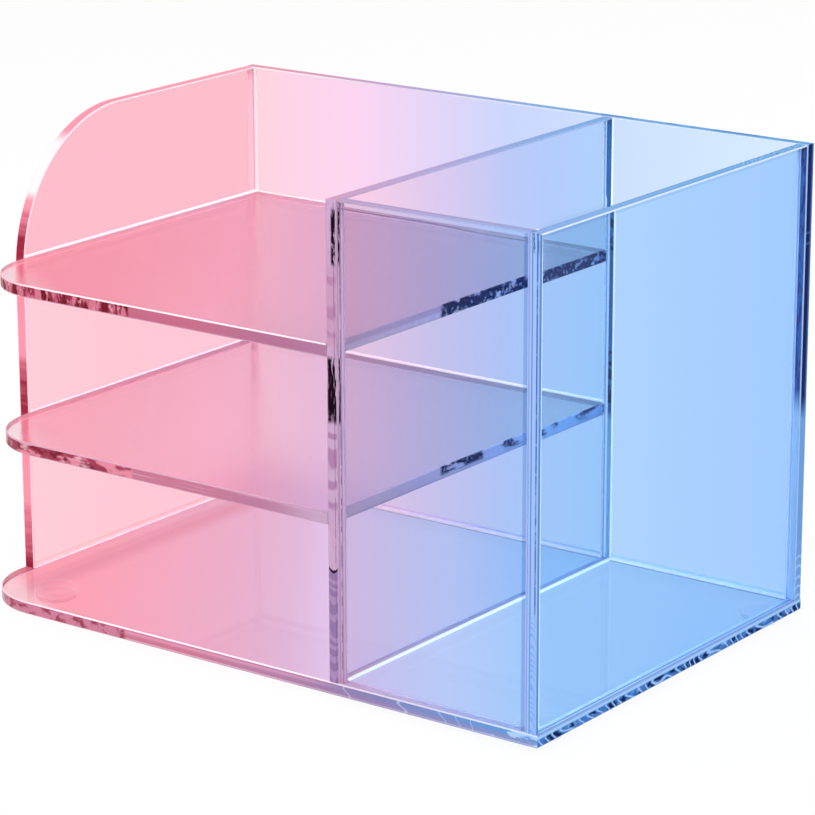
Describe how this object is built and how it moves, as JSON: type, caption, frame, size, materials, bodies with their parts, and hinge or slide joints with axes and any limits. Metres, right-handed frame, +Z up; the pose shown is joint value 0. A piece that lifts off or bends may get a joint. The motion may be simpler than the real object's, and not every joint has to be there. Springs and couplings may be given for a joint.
{
  "type": "acrylic organizer",
  "caption": "Clear acrylic desk organizer of bonded sheets: open shelves with rounded corners on the left and a tall open-topped bin on the right, on low clear feet.",
  "frame": {"origin": "on the surface the feet stand on, under the middle of the base plate", "axes": "+X from the shelves to the bin, +Y from the open front to the back panel, +Z up"},
  "size_m": [0.22, 0.148, 0.1528],
  "materials": {
    "pink_acrylic": "clear dyed acrylic sheet, polished faces and edges",
    "lavender_acrylic": "clear dyed acrylic sheet, polished faces and edges",
    "blue_acrylic": "clear dyed acrylic sheet, polished faces and edges",
    "clear_rubber": "clear soft bumper"
  },
  "bodies": {
    "root": {"base_plate": "lavender_acrylic", "left_side_panel": "pink_acrylic", "back_panel": "lavender_acrylic", "divider_panel": "lavender_acrylic", "right_side_panel": "blue_acrylic", "bin_front_panel": "blue_acrylic", "lower_shelf": "pink_acrylic", "upper_shelf": "pink_acrylic", "foot_front_left": "clear_rubber", "foot_front_right": "clear_rubber", "foot_rear_left": "clear_rubber", "foot_rear_right": "clear_rubber"}
  },
  "joints": []
}
